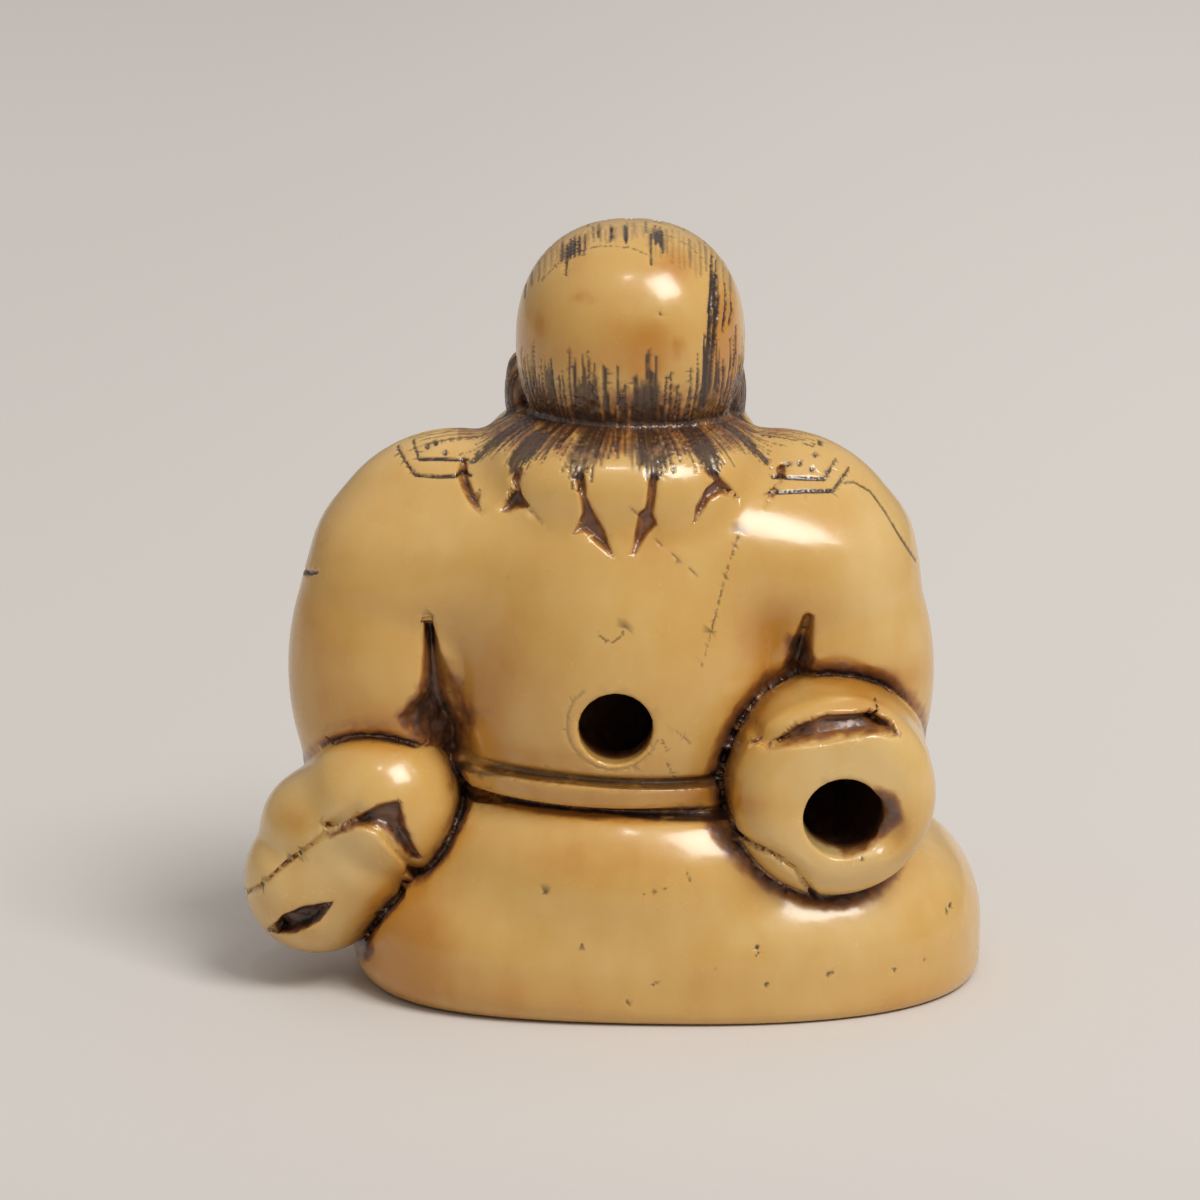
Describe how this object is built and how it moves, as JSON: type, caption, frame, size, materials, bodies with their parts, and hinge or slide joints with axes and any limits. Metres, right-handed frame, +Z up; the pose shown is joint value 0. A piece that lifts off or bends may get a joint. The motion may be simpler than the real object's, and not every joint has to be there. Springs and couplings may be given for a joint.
{
  "type": "netsuke",
  "caption": "Seated long-haired sage netsuke in carved ivory, with a sash, gathered sleeves and a cord channel from the back to the right sleeve.",
  "frame": {"origin": "on the surface that the carving stands on, under the middle of its bounding box", "axes": "+Z up, -Y is the way the sage faces, +X is the sage's left"},
  "size_m": [0.0368, 0.0243, 0.0375],
  "materials": {
    "ivory": "polished aged ivory, warm honey colour, dark staining in the cuts"
  },
  "bodies": {
    "root": {"seated_sage": "ivory"}
  },
  "joints": []
}
